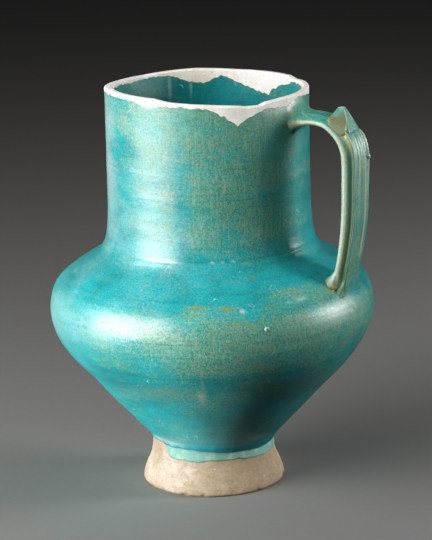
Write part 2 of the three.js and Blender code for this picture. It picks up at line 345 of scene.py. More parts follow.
# The broken edge of the neck and the levelled rim, as [degrees from the handle, height]
rim = {
    "broken": [[0, 198.2], [12, 197.6], [24, 196.5], [34, 197.6], [42, 198.2], [52, 197.4], [65, 194.5],
        [74, 191.3], [76.5, 188.3], [87, 190.4], [98, 193.5], [103, 195.4], [109, 197], [113, 196],
        [118, 193.2], [128, 193.9], [139, 197.4], [150, 198.2], [167, 198], [171, 197.3], [178, 198.1],
        [195, 198.3], [210, 200], [222, 200.7], [250, 200.5], [258, 199.8], [265, 197.9], [272, 199.4],
        [285, 199.1], [299, 198.4], [307, 194.5], [315, 189.7], [321, 193], [332, 196.2], [348, 195.6],
        [353, 197.6]],
    "levelled": [[0, 199.9], [40, 199.8], [52, 199.1], [60, 200], [100, 199.9], [125, 200.6],
        [158, 199.8], [180, 200.1], [196, 200.9], [226, 202.8], [267, 202.6], [277, 201.2],
        [300, 200.1], [315, 199.1], [321, 198.3], [329, 198.2], [333, 199.3], [344, 199.8]],
    "jagged": 0.3,
    "nicks": [[1, 1.6, 5, 18], [0.6, 3.5, 6, 14]],  # [share, size, seed, waves]
    "fillings": [["rear_right_fill", 58.5, 112.5], ["rear_left_fill", 112.5, 148.5],
        ["left_fill", 148.5, 247.5], ["front_left_fill", 247.5, 301.5], ["front_fill", 301.5, 328.5],
        ["handle_side_fill", 328.5, 418.5]],
    "edgeRound": 0.9,
    "leastRise": 0.2,
    "stepDegrees": 0.6,
}


def brokenHeight(angle):
    turn = np.radians(angle)
    circle = np.stack([np.cos(turn), np.sin(turn)], 1) * jug["rimRadius"]
    nicks = sum(share * lumps(circle, *kind) for share, *kind in rim["nicks"])
    return valueRound(rim["broken"], angle) + rim["jagged"] * nicks


# How the jug stands: the body sits a little off the foot and bulges on one side
stance = {"bodyShift": 1.05, "shiftFrom": 21, "shiftTo": 29, "bulge": 0.75, "bulgeHeight": 60,
          "bulgeReach": 8, "footRise": 0.6, "riseTo": 9, "wobble": 0.18, "wobbleSize": 38,
          "wobbleFrom": 10, "wobbleFull": 25}


def settled(points):
    z = points[:, 2]
    turn = math.radians(view["azimuth"])
    aside = np.array([math.cos(turn), math.sin(turn)])
    shift = stance["bodyShift"] * ease(z, stance["shiftFrom"], stance["shiftTo"])
    shift += stance["bulge"] * hump(z, stance["bulgeHeight"], stance["bulgeReach"])
    moved = points.copy()
    radius = np.maximum(roundAxis(points)[0], 1e-6)
    swell = stance["wobble"] * lumps(points, stance["wobbleSize"], 21)
    swell *= ease(radius, stance["wobbleFrom"], stance["wobbleFull"])
    moved[:, :2] += points[:, :2] / radius[:, None] * swell[:, None] + aside * shift[:, None]
    moved[:, 2] += stance["footRise"] * ease(z, 0, stance["riseTo"])
    moved[:, 0] += axisX
    return moved


# A closed body through rows of points, capped with one face at each end
def loftedPiece(name, rings, finish):
    rows, count = rings.shape[:2]
    i, k = np.meshgrid(np.arange(rows - 1), np.arange(count), indexing="ij")
    here, beside = i * count + k, i * count + (k + 1) % count
    faces = np.stack([here, beside, beside + count, here + count], -1).reshape(-1, 4).tolist()
    faces.append(list(range(count - 1, -1, -1)))
    faces.append(list(range((rows - 1) * count, rows * count)))
    mesh = bpy.data.meshes.new(name)
    mesh.from_pydata((rings.reshape(-1, 3) * mm).tolist(), [], faces)
    mesh.update()
    return addToScene(name, mesh, finish)


def fillPiece(name, start, end, finish):
    steps = round((end - start) / rim["stepDegrees"])
    angles = np.linspace(start, end, steps + 1)
    low, high = brokenHeight(angles), valueRound(rim["levelled"], angles)
    outside, inside, bend = jug["rimRadius"], jug["rimInnerRadius"], rim["edgeRound"]
    corner = np.radians(np.linspace(0, 90, 6))
    wall = np.linspace(0, 1, 14)
    rings = []
    for angle, z0, z1 in zip(angles, low, high):
        top = max(z1 - bend, z0 + rim["leastRise"])
        section = [(outside, z0 + (top - z0) * t) for t in wall]
        section += [(outside - bend * (1 - math.cos(c)), z1 - bend * (1 - math.sin(c)))
                    for c in corner[1:]]
        section += [(inside + bend * (1 - math.sin(c)), z1 - bend * (1 - math.cos(c)))
                    for c in corner]
        section += [(inside, top + (z0 - top) * t) for t in wall[1:]]
        turn = math.radians(angle)
        rings.append([(r * math.cos(turn), r * math.sin(turn), z) for r, z in section])
    return loftedPiece(name, np.array(rings)[::-1], finish)


# The strap handle: stations down its middle line as [x, z, thickness, width]
strap = {
    "stations": [[45.5, 187.5, 7.3, 18.4], [48.5, 188.1, 6.9, 18.2], [52, 188.6, 6.5, 18],
        [55.5, 188.8, 6.2, 17.6], [59, 189, 5.4, 17.2], [63.2, 188.8, 5.1, 17], [67.2, 187.9, 5.1, 17],
        [71, 185.8, 5.6, 17], [74.6, 182.6, 6.1, 17], [77.4, 178.6, 6.6, 17], [79.2, 173.8, 7.2, 17],
        [79.8, 167.5, 7.5, 17], [79.7, 158, 7.5, 17], [79.5, 148, 7.5, 17], [78.9, 138.5, 7.3, 17],
        [77.8, 129.5, 6.9, 17], [76.6, 121.5, 6.6, 17.2], [75.4, 115.5, 6.6, 17.4],
        [74.7, 110.5, 6.8, 17.6], [74.1, 105.5, 7, 17.8], [73.6, 100.5, 7, 18]],
    # half of the section, as shares of half the width and half the thickness: the inner
    # face, the thick inner bead, the hollow side and the outer face with its ribs
    "inside": [[0, -0.84], [0.35, -0.86], [0.52, -0.9], [0.66, -0.98], [0.78, -1], [0.89, -0.96],
        [0.965, -0.84], [1, -0.64], [1, -0.42], [0.96, -0.2], [0.89, 0], [0.835, 0.18], [0.805, 0.36],
        [0.805, 0.54], [0.845, 0.7]],
    "ribbedFace": [[0.915, 0.82], [0.945, 0.92], [0.93, 1], [0.87, 1.02], [0.79, 0.94], [0.7, 0.82],
        [0.6, 0.78], [0.49, 0.84], [0.39, 0.97], [0.31, 1.01], [0.23, 0.97], [0.12, 0.83], [0, 0.78]],
    "plainFace": [[0.905, 0.82], [0.925, 0.9], [0.91, 0.96], [0.86, 0.99], [0.78, 0.99], [0.7, 0.98],
        [0.6, 0.97], [0.49, 0.97], [0.39, 0.98], [0.31, 0.985], [0.23, 0.98], [0.12, 0.97], [0, 0.965]],
    # the whole half section where the strap leaves the neck, with no hollow side
    "roundedTop": [[0, -0.84], [0.35, -0.86], [0.52, -0.9], [0.66, -0.97], [0.78, -1], [0.89, -0.96],
        [0.965, -0.84], [1, -0.64], [1, -0.42], [0.985, -0.2], [0.965, 0], [0.94, 0.18], [0.91, 0.34],
        [0.88, 0.48], [0.85, 0.6], [0.82, 0.7], [0.79, 0.78], [0.76, 0.84], [0.72, 0.89], [0.67, 0.93],
        [0.6, 0.95], [0.52, 0.96], [0.44, 0.965], [0.36, 0.97], [0.29, 0.97], [0.21, 0.97],
        [0.11, 0.97], [0, 0.97]],
    # a place counts stations down the strap, from 0 at this one, the first clear of the neck
    "bendStation": 3,
    "topEnd": 1.6,
    "lowStart": 11,
    "ribs": [[5.2, 0], [6, 1], [7.6, 1], [9.2, 0.25], [12.5, 0.15], [14.5, 0]],
    "rounded": [[3.2, 1], [4.6, 0]],
    "narrowTop": [[0, 0.3], [2.6, 0.34], [4.6, 0.3], [5.7, 0]],  # how far the outer face draws in
    "riseUnderRest": [[3.4, 0], [4.3, 0.5], [5, 0.8], [6, 1.2], [7, 0.7], [8.4, 0.2], [10, 0]],
    "farGroove": {"aside": 2.3, "reach": 0.8, "depth": 0.6, "places": [6.5, 8, 12, 13.5]},
    "farCrest": {"aside": 4.2, "reach": 0.9},
    "filletInside": 6.5, "filletOutside": 7.5, "filletAside": 6, "leastFillet": 0.05,
    "filletTurn": 0.8,  # a face turned this far to the skin has none
    "filletBelow": 7.4, "flareBelow": 0.54,  # the inner face flares more straightly on the shoulder
    "clearWithin": 7, "beadClearWithin": 1.5,  # this near the jug it takes on the jug's wear
    # places where wear starts, is full, fades and ends
    "wornUnder": [-1.6, -0.4, 1.2, 2.6],
    "soiled": [3.6, 4.2, 5.2, 7.4],
    "beadSoiled": [9, 12],
    "stepsPerStation": 12,
    "sinkDepth": 0.8,
    "sunkRadius": 48.7,
    "slopeFrom": 92,
}


strapLine = lineThrough(strap["stations"], pieces=strap["stepsPerStation"])
strapPlaces = np.arange(len(strapLine)) / strap["stepsPerStation"] - strap["bendStation"]
along = np.gradient(strapLine[:, :2], axis=0)
along /= np.linalg.norm(along, axis=1)[:, None]


def wholeSection(half):
    half = np.array(half)
    whole = np.vstack([half, (half[1:-1] * [-1, 1])[::-1]])
    return lineThrough(whole, pieces=3, closed=True)


# How far points stand off the jug's skin, less than 0 inside it, and which way it faces there
def offJug(points):
    radius = roundAxis(points)[0]
    here = np.stack([radius, points[:, 2]], 1)
    start, step = skin[:-1], np.diff(skin, axis=0)
    t = ((here[:, None] - start) * step).sum(2) / (step**2).sum(1)
    nearest = start + np.clip(t, 0, 1)[..., None] * step
    apart = np.linalg.norm(here[:, None] - nearest, axis=2)
    closest = apart.argmin(1)
    each = np.arange(len(here))
    side = here - nearest[each, closest]
    wall = step[closest] / np.linalg.norm(step[closest], axis=1)[:, None]
    gap = apart[each, closest] * np.sign(wall[:, 1] * side[:, 0] - wall[:, 0] * side[:, 1])
    level = points[:, :2] * (wall[:, 1] / radius)[:, None]
    return gap, np.column_stack([level, -wall[:, 0]])


# Turns steps across the strap and out of it into steps in the jug's space
def acrossStrap(out, side, lift):
    steps = lift[:, None] * out
    steps[:, 1] += side
    return steps


def handlePiece(finish):
    ribbed = wholeSection(strap["inside"] + strap["ribbedFace"])
    plain = wholeSection(strap["inside"] + strap["plainFace"])
    rounded = wholeSection(strap["roundedTop"])
    groove, crest = strap["farGroove"], strap["farCrest"]
    slope = outer["shoulder"][outer["shoulder"][:, 1] > strap["slopeFrom"]][::-1]
    rings, brown, pale, tan, clear = [], [], [], [], []
    for place, (x, z, thickness, width), down in zip(strapPlaces, strapLine, along):
        middle, out = np.array([x, 0, z]), np.array([-down[1], 0, down[0]])
        ribs, roundness, narrow, rise = (
            valueAt(strap[key], place) for key in ("ribs", "rounded", "narrowTop", "riseUnderRest"))
        shape = plain + (ribbed - plain) * ribs
        shape = shape + (rounded - shape) * roundness
        across, through = shape.T  # shares of half the width and half the thickness
        atSide = np.abs(across)
        side = across * width / 2 * (1 - narrow * ease(through, -0.1, 0.9))
        lift = through * thickness / 2 + rise * ease(through, -0.1, 0.8)
        deep = plateau(place, *groove["places"])
        farLine = deep * hump(side, groove["aside"], groove["reach"]) * (lift > 0)
        lift = lift - groove["depth"] * farLine
        ring = middle + acrossStrap(out, side, lift)

        # clay smoothed into the jug: the strap spreads as it nears the skin
        outline = np.stack([side, lift], 1)
        edge = np.roll(outline, -1, 0) - np.roll(outline, 1, 0)
        normal = np.stack([edge[:, 1], -edge[:, 0]], 1) / np.linalg.norm(edge, axis=1)[:, None]
        facing = acrossStrap(out, *normal.T)
        low = place > strap["lowStart"]
        if low or place < strap["topEnd"]:
            under = normal[:, 1] < 0
            inside = strap["filletBelow" if low else "filletInside"]
            full = strap["filletAside"] * normal[:, 0] ** 2
            full += np.where(under, inside, strap["filletOutside"]) * normal[:, 1] ** 2
            for _ in range(4):
                gap, skinFacing = offJug(ring)
                turned = np.clip((facing * skinFacing).sum(1) / strap["filletTurn"], 0, 1)
                fillet = np.maximum(full * (1 - turned), strap["leastFillet"])
                near = 1 - np.clip(gap / fillet, 0, 1)
                spread = fillet * (1 - np.sqrt(1 - near**2))
                if low:
                    spread = np.where(under, strap["flareBelow"] * fillet * near**1.5, spread)
                spreadSide, spreadLift = normal.T * spread
                ring = middle + acrossStrap(out, side + spreadSide, lift + spreadLift)
        gap = offJug(ring)[0]
        radius = roundAxis(ring)[0]
        if low:
            ring[:, 2] = np.maximum(ring[:, 2], valueAt(slope, radius) - strap["sinkDepth"])
        else:
            ring[:, :2] *= np.maximum(1, strap["sunkRadius"] / radius)[:, None]
        rings.append(ring)

        # wear: rubbed on the bead and the ribs, soiled in the hollow side and beneath; the hollow
        # side's dark paint is partly painted shade
        bead = (atSide > 0.8) & (through < 0.1)
        within = np.where(bead, strap["beadClearWithin"], strap["clearWithin"])
        clear.append(ease(gap, 0, within))
        # the hollow side, out over its lit flank, is painted dark: a stain and painted shade together
        hollow = np.exp(-((through - 0.46) / 0.48) ** 4) * (atSide > 0.8)
        soiled = hollow * plateau(place, *strap["soiled"])
        brown.append(hollow * (1 - roundness) - soiled)
        underside = ease(-through, 0.3, 0.7) * ease(atSide, 0.6, 0.9)
        underside *= plateau(place, *strap["wornUnder"])
        beadEnd = bead * low * hump(gap, 1.2, 1.6)
        byBead = hump(through, -0.02, 0.16) * (atSide > 0.85) * ease(place, *strap["beadSoiled"])
        tan.append(underside + soiled + 0.6 * beadEnd + 0.6 * byBead + 0.8 * farLine)
        farCrest = deep * hump(side, crest["aside"], crest["reach"]) * (lift > 0)
        ribTops = ribs * np.clip(10 * through - 9, 0, 1)
        pale.append(hump(through, -0.5, 0.4) * (atSide > 0.9) + ribTops + farCrest)
    piece = loftedPiece("handlePiece", np.array(rings), finish)
    worn = np.ravel(clear)
    paint(piece, "brown", np.ravel(brown) * worn)
    paint(piece, "pale", np.ravel(pale) * worn)
    paint(piece, "tan", np.ravel(tan))
    paint(piece, "clear", worn)
    return piece


# Thumb rest: a pinched wedge with its crest over the bend, as [x, half width, z]
thumbRest = {
    "corners": [[71.8, 0.6, 194.9], [74.6, 1, 195.1], [76.5, 2.4, 191], [77.2, 3.8, 187.9],
        [78.1, 6.2, 185.4], [69.1, 7, 190.2], [69.4, 7.9, 187.6], [76.2, 7.9, 182.4],
        [66.5, 3.5, 187.5], [79.8, 5.7, 183.6]],
    "ridges": [[0, 1], [1, 2], [2, 3], [3, 4]],  # pairs of corners along the worn edges
    "bevel": 0.45,
    "paleReach": 0.5,
    "soiled": [193.8, 190.3], "soiledJagged": 1.2,
    "front": [75.3, 74.5], "aslant": 0.9,
}


def thumbRestPiece(finish):
    shape = bmesh.new()
    for x, halfWide, z in thumbRest["corners"]:
        for side in (-halfWide, halfWide):
            shape.verts.new((x * mm, side * mm, z * mm))
    hull = bmesh.ops.convex_hull(shape, input=shape.verts)
    buried = [g for g in hull["geom_interior"] if isinstance(g, bmesh.types.BMVert)]
    bmesh.ops.delete(shape, geom=buried, context="VERTS")
    bmesh.ops.dissolve_limit(shape, angle_limit=math.radians(3), verts=shape.verts, edges=shape.edges)
    mesh = bpy.data.meshes.new("thumbRestPiece")
    shape.to_mesh(mesh)
    shape.free()
    piece = addToScene("thumbRestPiece", mesh, finish)
    bevel = piece.modifiers.new("softEdge", "BEVEL")
    bevel.width, bevel.segments, bevel.limit_method = thumbRest["bevel"] * mm, 3, "ANGLE"
    bevel.angle_limit = math.radians(14)
    finer = piece.modifiers.new("finer", "SUBSURF")
    finer.subdivision_type, finer.levels, finer.render_levels = "SIMPLE", 3, 3
    points = readPoints(applyModifiers(piece))
    corners = np.array(thumbRest["corners"])
    pale = np.zeros(len(points))
    for a, b in thumbRest["ridges"]:
        for side in (-1, 1):
            start, step = corners[a] * [1, side, 1], (corners[b] - corners[a]) * [1, side, 1]
            t = np.clip((points - start) @ step / (step @ step), 0, 1)
            apart = np.linalg.norm(points - start - t[:, None] * step, axis=1)
            pale = np.maximum(pale, hump(apart, 0, thumbRest["paleReach"]))
    paint(piece, "pale", pale)
    height = points[:, 2] + thumbRest["soiledJagged"] * lumps(points, 2.5, 41)
    forward = points[:, 0] + thumbRest["aslant"] * points[:, 1]
    soiled = ease(height, *thumbRest["soiled"]) * ease(forward, *thumbRest["front"])
    paint(piece, "tan", soiled * (1 - pale))
    return piece


# Small drops of glaze that set on the skin, as [degrees, radius, height, size, rise]
drops = {"glazePimple": [317, 80.2, 97.3, 1.25, 0.95], "glazeBead": [5.2, 83.6, 170.2, 1.5, 1.3]}


def dropPiece(name, finish):
    angle, radius, height, size, rise = drops[name]
    turn = math.radians(angle)
    shape = bmesh.new()
    bmesh.ops.create_icosphere(shape, subdivisions=4, radius=1)
    mesh = bpy.data.meshes.new(name)
    shape.to_mesh(mesh)
    shape.free()
    mesh.shade_smooth()
    points = readPoints(mesh) * mm  # a ball of radius 1
    upwards = 0.2  # how steeply it points up
    out = np.array([math.cos(turn), math.sin(turn), upwards]) / math.hypot(1, upwards)
    outwards = points @ out
    centre = np.array([radius * math.cos(turn), radius * math.sin(turn), height])
    writePoints(mesh, centre + points * size + np.outer(outwards * (rise - size), out))
    piece = addToScene(name, mesh, finish)
    tip = ease(outwards, 0.75, 0.95)
    paint(piece, "brown", tip)
    # The pale round each drop is a painted highlight; the brown tip is where it broke.
    paint(piece, "pale", 0.8 * (1 - tip))
    paint(piece, "worn", np.full(len(points), 0.5))
    return piece


# Where the glaze has changed, and where pale patches paint highlight: by height, then in patches as
# [degrees from the handle, height, reach round in degrees, reach up, strength]
glazeWear = {
    "worn": [[20, 0.1], [30, 0.12], [50, 0.25], [62, 0.4], [72, 0.4], [84, 0.55], [98, 0.6],
        [104, 0.35], [110, -0.1], [119, -0.1], [124, 0.2], [140, 0.4], [175, 0.5], [200, 0.65]],
    "wornPatches": [[114, 188, 24, 9, -0.5], [290, 165, 22, 45, 0.3], [325, 160, 22, 50, 0.25],
        [283, 155, 5, 40, -0.35], [232, 150, 18, 60, -0.1], [300, 93, 40, 9, 0.25],
        [345, 94, 24, 12, 0.25], [293, 107.4, 5, 1.6, 0.7], [304, 106.8, 4.5, 1.4, 0.6],
        [331, 110.6, 7, 1.5, 0.5], [300, 78, 14, 3, 0.4], [275, 64, 14, 3, 0.25], [292, 60, 5, 6, 0.35],
        [250, 68, 24, 6, -0.3], [312, 45, 30, 12, 0.1], [20, 150, 20, 50, -0.2], [335, 196, 16, 6, 0.5],
        [337, 109, 22, 5, 0.45], [235, 150, 26, 60, -0.3], [228, 95, 32, 22, -0.4]],
    "pale": [[20, 0.05], [200, 0.05]],
    # Some pale patches are painted highlight on the lit glaze, not pale glaze: 268, 238, 215, 264 and
    # 222 degrees on the left of the belly and neck, 350 on the right of the belly, 272 along the neck's
    # crease and 247 above the glaze's lip. The one at 158 degrees inside the neck is a painted
    # reflection. The rest are pale marks in the glaze.
    "palePatches": [[309.4, 105.8, 1.1, 1.1, 1], [294, 69, 0.9, 9, 0.35], [292, 62, 1.2, 6, 0.4],
        [268, 97, 20, 6, 0.3], [350, 99, 12, 5, 0.35], [264, 155, 20, 50, 0.4],
        [334, 107.2, 3, 0.8, 0.5], [328, 106.8, 2, 0.7, 0.4], [340, 197, 12, 4, 0.9],
        [247, 24.5, 25, 2, 0.5], [238, 90, 25, 12, 0.22], [222, 168, 15, 42, 0.5],
        [158, 191, 18, 7, 0.5], [215, 92, 20, 16, 0.25], [272, 124.2, 8, 0.6, 0.9],
        [299, 124.2, 1.6, 0.5, 0.8], [304.5, 124.2, 1.2, 0.5, 0.7], [310, 124.3, 1.5, 0.5, 0.8]],
    "brown": [[20, 0], [200, 0]],
    "brownPatches": [[319, 117, 1.1, 0.7, 1], [284, 104.2, 16, 0.7, 0.5], [262, 88.6, 12, 0.6, 0.45],
        [262, 75.2, 14, 0.6, 0.4], [305, 77.2, 22, 0.9, 0.4], [293, 107.4, 3.4, 1, 0.6],
        [304, 106.8, 3.6, 1.2, 0.75], [308, 100.8, 9, 1.5, 0.4], [330, 103, 14, 1.2, 0.3],
        [318, 88, 16, 1, 0.35], [350.5, 107, 4, 2.2, 0.8], [337.5, 191, 1.6, 5, 0.6],
        [346, 186, 5, 2.5, 0.4]],
    # where it ran together and set thick, above its lower edge
    "pooled": [[22.2, 0.9], [23.3, 0.6], [24.4, 0], [200, 0]],
    # pale drips inside the neck, as patches
    "drips": [[141.6, 192, 0.8, 6, 0.8], [128, 192, 0.8, 7, 0.8], [100, 194, 1.2, 4, 0.4]],
    "insideFrom": 1.5,  # this far within the skin
    # inside the jug and above this height the glaze is painted darker, as shade
    "deepFrom": 30,
    "insideWorn": 0.35,
    "handleWorn": 0.62,
    "breakLine": 0.9,
    "breakStain": [1.1, 0.5],  # inside and outside
}


def patchesOver(rows, angle, height):
    total = np.zeros(len(height))
    for at, middle, reachRound, reachUp, strength in rows:
        total += strength * hump(turnFrom(angle, at), 0, reachRound) * hump(height, middle, reachUp)
    return total


# The handle keeps its own wear, so its glaze is painted by how clear it stands of the jug
def paintGlaze(piece, clear=0):
    points = readPoints(piece.data)
    clear = np.broadcast_to(clear, len(points))
    (radius, angle), height = roundAxis(points), points[:, 2]
    inside = radius < valueAt(skin[4:, ::-1], height) - glazeWear["insideFrom"]
    # Inside the jug, above deepFrom, deep marks the glaze that its material darkens: painted shade
    # within the neck and bowl
    paint(piece, "deep", inside * (height > glazeWear["deepFrom"]))
    atBreak = 0.0
    if height.max() > jug["neckTop"] and not clear.any():
        edge, line = brokenHeight(angle), glazeWear["breakLine"]
        atBreak = ease(height, edge - line, edge - 0.2 * line)
        atBreak *= np.where(inside, *glazeWear["breakStain"])
    for name in ("worn", "pale", "brown", "pooled"):
        within = glazeWear["insideWorn"] if name == "worn" else 0.0
        value = np.where(inside, within, valueAt(glazeWear[name], height))
        value += patchesOver(glazeWear.get(name + "Patches", ()), angle, height)
        value = value * (1 - clear)
        if name == "worn":
            value += glazeWear["handleWorn"] * clear
        if name == "brown":
            value += atBreak
        if name == "pale":
            value += inside * patchesOver(glazeWear["drips"], angle, height)
        layer = piece.data.attributes.get(name)
        if layer:
            own = np.empty(len(points), np.float32)
            layer.data.foreach_get("value", own)
            value += own
            piece.data.attributes.remove(layer)
        paint(piece, name, value)


# Builds a material from a description, with all sizes in mm. Noises are [size, detail, stretch
# if any], dots [spacing, radius, share kept], masks [weights of what they join, from, to, where],
# and colours, laid one over another, [where, strength, code].
def finishFrom(look):
    material = bpy.data.materials.new(look["name"])
    material.use_nodes = True
    tree = material.node_tree
    add = partial(addNode, tree)
    shader = tree.nodes["Principled BSDF"]
    place = add("ShaderNodeTexCoord").outputs["Object"]
    values = {}
    for label, (size, detail, *stretch) in look["noises"].items():
        scaled = add("ShaderNodeMapping",
            {"Vector": place, "Scale": [1 / (size * s * mm) for s in stretch or (1, 1, 1)]})
        values[label] = add("ShaderNodeTexNoise",
            {"Vector": scaled, "Scale": 1, "Detail": detail, "Roughness": 0.6})
    for label in look.get("painted", ()):
        values[label] = add("ShaderNodeAttribute", attribute_name=label).outputs["Fac"]
    for label, (size, radius, share) in look.get("dots", {}).items():
        cells = add("ShaderNodeTexVoronoi", {"Vector": place, "Scale": 1 / (size * mm)})
        near = add("ShaderNodeMapRange",
            {"Value": cells.outputs["Distance"], "From Min": radius, "From Max": radius / 2},
            interpolation_type="SMOOTHSTEP")
        kept = add("ShaderNodeMath", {0: cells.outputs["Color"], 1: share}, operation="LESS_THAN")
        values[label] = add("ShaderNodeMath", {0: near, 1: kept}, operation="MULTIPLY")
    for label, (source, width) in look.get("lines", {}).items():
        values[label] = add("ShaderNodeMath",
            {0: values[source], 1: 0.5, 2: width}, operation="COMPARE")

    def weighed(parts, total=0.0):
        for source, weight in parts.items():
            total = add("ShaderNodeMath",
                {0: values[source], 1: weight, 2: total}, operation="MULTIPLY_ADD")
        return total

    for label, (parts, low, high, *within) in look["masks"].items():
        mask = add("ShaderNodeMapRange",
            {"Value": weighed(parts), "From Min": low, "From Max": high},
            interpolation_type="SMOOTHSTEP")
        for other in within:
            mask = add("ShaderNodeMath", {0: mask, 1: values[other]}, operation="MULTIPLY")
        values[label] = mask
    colour = linearColour(look["base"])
    for label, strength, code in look["colours"]:
        amount = add("ShaderNodeMath", {0: values[label], 1: strength}, operation="MULTIPLY")
        colour = add("ShaderNodeMix",
            {0: amount, 6: colour, 7: linearColour(code)}, data_type="RGBA")
    tree.links.new(colour.outputs[2], shader.inputs["Base Color"])
    rough, relief = weighed(look["roughnessOf"], look["roughness"]), weighed(look["reliefOf"])
    tree.links.new(rough.outputs[0], shader.inputs["Roughness"])
    bump = add("ShaderNodeBump", {"Height": relief, "Distance": mm})
    tree.links.new(bump.outputs[0], shader.inputs["Normal"])
    shader.inputs["IOR"].default_value = look.get("ior", 1.45)
    shader.inputs["Specular IOR Level"].default_value = look.get("gloss", 0.5)
    shader.inputs["Sheen Weight"].default_value = look.get("sheen", 0)
    return material


# Alkaline copper glaze on stonepaste, fired satin and since worn dull: deep turquoise
# where it pooled, greener and speckled with buff where weather has eaten the surface.
# The real speckle, grain and crackle are 0.1 to 0.3 mm wide, and are drawn coarser, 0.7 to
# 1.6 mm apart, so that they show.
glazeLook = {
    "name": "turquoiseGlaze",
    "ior": 1.62,
    "gloss": 0.65,
    "sheen": 0.05,
    "base": "009094",
    "noises": {"blotch": [26, 4], "cloud": [9, 4, 2, 2, 1], "speckle": [0.78, 4, 1.5, 1.5, 1],
        "grain": [0.78, 3], "peel": [3.2, 2], "brushed": [0.7, 2, 1, 1, 14],
        "wheel": [1.1, 3, 30, 30, 1], "hair": [9, 1, 1, 1, 5], "hairPlace": [11, 2],
        "film": [14, 4, 2, 2, 1], "crackle": [1.6, 3], "rash": [1.2, 3, 1, 1, 1.3],
        "turning": [1.6, 4, 18, 18, 1]},
    "painted": ["worn", "pale", "brown", "pooled", "deep"],
    "dots": {"pit": [2.3, 0.13, 0.4]},
    "lines": {"hairline": ["hair", 0.002], "crackleLine": ["crackle", 0.026]},
    "masks": {"bright": [{"blotch": 1}, 0.38, 0.62],
        "weather": [{"cloud": 1.5, "worn": 1.1}, 0.85, 1.75],
        "speckled": [{"speckle": 1, "weather": 0.15}, 0.57, 0.67],
        "darkGrain": [{"grain": 1, "worn": 0.05}, 0.55, 0.66],
        "brushMarks": [{"brushed": 1}, 0.54, 0.66, "weather"],
        "paleStreaks": [{"brushed": -1}, -0.46, -0.36, "weather"],
        "wheelLines": [{"wheel": 1}, 0.56, 0.68, "weather"],
        # weathered milky film, and painted highlight wherever the pale patches lie on the lit glaze
        "milkyFilmAndHighlight": [{"film": 0.8, "pale": 1, "speckle": 0.5}, 0.7, 1.35],
        "crazed": [{"crackleLine": 1, "weather": 0.6}, 0.6, 1.6],
        "darkRings": [{"turning": 1, "grain": 0.5}, 0.78, 0.92],
        "paleRings": [{"turning": -1, "speckle": 0.5}, -0.22, -0.1],
        "rusty": [{"rash": 1, "weather": 0.12}, 0.62, 0.72], "inside": [{"deep": 1}, 0, 1],
        "stained": [{"brown": 1, "speckle": 0.9, "cloud": 0.5}, 0.9, 1.35],
        "thick": [{"pooled": 1}, 0, 1], "scratched": [{"hairPlace": 1}, 0.57, 0.64, "hairline"]},
    "colours": [["bright", 1, "00a4aa"], ["weather", 0.75, "3c9f88"], ["brushMarks", 0.45, "0f7a72"],
        ["paleStreaks", 0.35, "9cc9b4"], ["wheelLines", 0.3, "8aa386"], ["speckled", 0.32, "8f9872"],
        # milky colour: partly weathered film, partly painted highlight from the pale patches
        ["milkyFilmAndHighlight", 0.6, "c6d4ce"], ["crazed", 0.4, "a9cdbd"], ["rusty", 0.32, "a58a68"],
        ["darkRings", 0.2, "0a6a66"], ["paleRings", 0.15, "55ab9c"], ["darkGrain", 0.24, "135a50"],
        ["stained", 0.6, "7b9058"], ["pit", 0.6, "4d5a48"], ["thick", 0.8, "027f98"],
        # inside: the glaze within the jug painted darker, as shade
        ["scratched", 0.7, "d8e2da"], ["inside", 0.3, "035a5e"]],
    "roughness": 0.33,
    "roughnessOf": {"weather": 0.06, "speckled": 0.08, "pit": 0.3},
    "reliefOf": {"peel": 0.05, "speckled": 0.012, "grain": 0.012, "pit": -0.08, "wheel": 0.02},
}

# The same glaze on the handle, rubbed thin: cream on the bead, brown in the hollows, which is partly
# painted shade
handleLook = dict(glazeLook, name="wornGlaze", painted=glazeLook["painted"] + ["tan"])
handleLook["colours"] = glazeLook["colours"] + [["pale", 0.5, "b3b48c"], ["brown", 0.85, "1f4033"],
                                                ["tan", 0.6, "98803f"]]
thumbLook = dict(handleLook, name="rubbedGlaze")
thumbLook["colours"] = glazeLook["colours"] + [["pale", 0.55, "c4caa8"], ["tan", 0.75, "7d7040"]]

# Fired stonepaste, unglazed: a sandy buff body, stained by the ground, with glaze run thin
# over its top in pale aqua. Its sand is about 0.2 mm, drawn 0.6 mm to show.
pasteLook = {
    "name": "stonepaste",
    "base": "cfbfae",
    "noises": {"mottle": [7, 4], "stainCloud": [15, 3], "sand": [0.6, 2], "dust": [2.2, 3],
        "runs": [3, 3, 1, 1, 1.5]},
    "painted": ["band", "edge", "dirt"],
    "dots": {"hole": [1.9, 0.14, 0.3], "chip": [3.1, 0.2, 0.25]},
    "masks": {"light": [{"mottle": 1}, 0.45, 0.65], "tan": [{"stainCloud": 1, "dirt": 0.25}, 0.5, 0.75],
        "grains": [{"sand": 1}, 0.55, 0.68], "dusty": [{"dust": 1, "dirt": 0.1}, 0.5, 0.68],
        "aqua": [{"band": 1}, 0.3, 0.7], "thin": [{"runs": 1}, 0.5, 0.66, "aqua"],
        "rimLine": [{"edge": 1}, 0.3, 0.9]},
    "colours": [["light", 0.7, "e2d5c2"], ["tan", 0.65, "b59c78"], ["dusty", 0.45, "ab9a80"],
        ["grains", 0.45, "8f7c62"], ["chip", 0.5, "efe8dc"], ["hole", 0.6, "6a5a43"],
        ["aqua", 0.95, "8ec7b8"], ["thin", 0.5, "c9ddcf"], ["rimLine", 0.6, "4f6f5f"]],
    "roughness": 0.85,
    "roughnessOf": {"aqua": -0.4, "grains": 0.05},
    "reliefOf": {"sand": 0.05, "dust": 0.08, "hole": -0.12, "aqua": 0.05},
}

